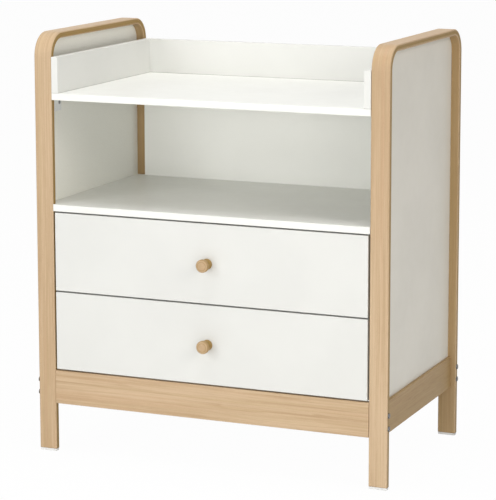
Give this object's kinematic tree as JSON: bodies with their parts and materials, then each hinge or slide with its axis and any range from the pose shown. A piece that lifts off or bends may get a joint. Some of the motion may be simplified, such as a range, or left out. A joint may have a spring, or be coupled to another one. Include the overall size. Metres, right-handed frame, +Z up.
{
  "type": "changing dresser",
  "caption": "Changing dresser with bent wooden hoop sides, a guarded white changing top, an open shelf and drawers that slide on roller runners.",
  "frame": {"origin": "on the floor, under the middle of the whole dresser with its knobs (bottom centre of the box round it)", "axes": "+X to the right seen from the front, +Y to the back, +Z up; the drawers slide out along -Y"},
  "size_m": [0.875, 0.54, 0.99],
  "materials": {
    "beech": "clear satin lacquer",
    "white_board": "white satin lacquer",
    "white_panel": "white satin lacquer",
    "drawer_box": "white foil",
    "runner_batten": "bare wood",
    "dowel_wood": "bare wood",
    "white_plastic": "matt",
    "roller_plastic": "matt",
    "runner_steel": "white powder coat",
    "zinc_steel": "zinc plated",
    "cam_zinc": "die cast"
  },
  "bodies": {
    "dresser_frame": {"hoop_left": "beech", "hoop_right": "beech", "side_rail_left": "beech", "side_rail_right": "beech", "front_rail": "beech", "back_rail": "beech", "changing_top": "white_board", "guard_left": "white_board", "guard_right": "white_board", "guard_back": "white_board", "shelf": "white_board", "side_panel_left": "white_panel", "side_panel_right": "white_panel", "back_panel_upper": "white_panel", "back_panel_lower": "white_panel", "runner_batten_upper_left": "runner_batten", "cabinet_runner_upper_left": "runner_steel", "runner_batten_upper_right": "runner_batten", "cabinet_runner_upper_right": "runner_steel", "runner_batten_lower_left": "runner_batten", "cabinet_runner_lower_left": "runner_steel", "runner_batten_lower_right": "runner_batten", "cabinet_runner_lower_right": "runner_steel", "side_rail_dowels": "dowel_wood", "batten_dowels": "dowel_wood", "leg_glides": "white_plastic", "corner_blocks": "white_plastic", "leg_bolts": "zinc_steel", "barrel_nuts": "zinc_steel", "block_studs": "zinc_steel", "block_screws": "zinc_steel", "guard_screws": "zinc_steel", "cabinet_runner_screws": "zinc_steel", "block_cams": "cam_zinc"},
    "upper_drawer": {"upper_drawer_knob": "beech", "upper_drawer_front": "white_board", "upper_drawer_side_left": "drawer_box", "upper_drawer_side_right": "drawer_box", "upper_drawer_back": "drawer_box", "upper_drawer_bottom": "drawer_box", "upper_drawer_runner_left": "runner_steel", "upper_drawer_runner_right": "runner_steel", "upper_drawer_dowels": "dowel_wood", "upper_knob_screw": "zinc_steel", "upper_drawer_runner_screws": "zinc_steel"},
    "upper_front_rollers": {"upper_front_rollers": "roller_plastic"},
    "upper_rear_rollers": {"upper_rear_rollers": "roller_plastic"},
    "lower_drawer": {"lower_drawer_knob": "beech", "lower_drawer_front": "white_board", "lower_drawer_side_left": "drawer_box", "lower_drawer_side_right": "drawer_box", "lower_drawer_back": "drawer_box", "lower_drawer_bottom": "drawer_box", "lower_drawer_runner_left": "runner_steel", "lower_drawer_runner_right": "runner_steel", "lower_drawer_dowels": "dowel_wood", "lower_knob_screw": "zinc_steel", "lower_drawer_runner_screws": "zinc_steel"},
    "lower_front_rollers": {"lower_front_rollers": "roller_plastic"},
    "lower_rear_rollers": {"lower_rear_rollers": "roller_plastic"}
  },
  "joints": [
    {"name": "upper_drawer_slide", "type": "slide", "parent": "dresser_frame", "child": "upper_drawer", "axis": [0, -1, 0], "range_m": [0, 0.33]},
    {"name": "upper_front_rollers_spin", "type": "hinge", "parent": "dresser_frame", "child": "upper_front_rollers", "pos_m": [0, -0.206, 0.41685], "axis": [1, 0, 0], "range_deg": [0, 2364]},
    {"name": "upper_rear_rollers_spin", "type": "hinge", "parent": "upper_drawer", "child": "upper_rear_rollers", "pos_m": [0, 0.209, 0.41755], "axis": [1, 0, 0], "range_deg": [0, 2101]},
    {"name": "lower_drawer_slide", "type": "slide", "parent": "dresser_frame", "child": "lower_drawer", "axis": [0, -1, 0], "range_m": [0, 0.33]},
    {"name": "lower_front_rollers_spin", "type": "hinge", "parent": "dresser_frame", "child": "lower_front_rollers", "pos_m": [0, -0.206, 0.2291], "axis": [1, 0, 0], "range_deg": [0, 2364]},
    {"name": "lower_rear_rollers_spin", "type": "hinge", "parent": "lower_drawer", "child": "lower_rear_rollers", "pos_m": [0, 0.209, 0.2298], "axis": [1, 0, 0], "range_deg": [0, 2101]}
  ],
  "couplings": [
    {"joint": "upper_front_rollers_spin", "follows": "upper_drawer_slide", "rad_per_m": 125},
    {"joint": "upper_rear_rollers_spin", "follows": "upper_drawer_slide", "rad_per_m": 111.11},
    {"joint": "lower_front_rollers_spin", "follows": "lower_drawer_slide", "rad_per_m": 125},
    {"joint": "lower_rear_rollers_spin", "follows": "lower_drawer_slide", "rad_per_m": 111.11}
  ]
}
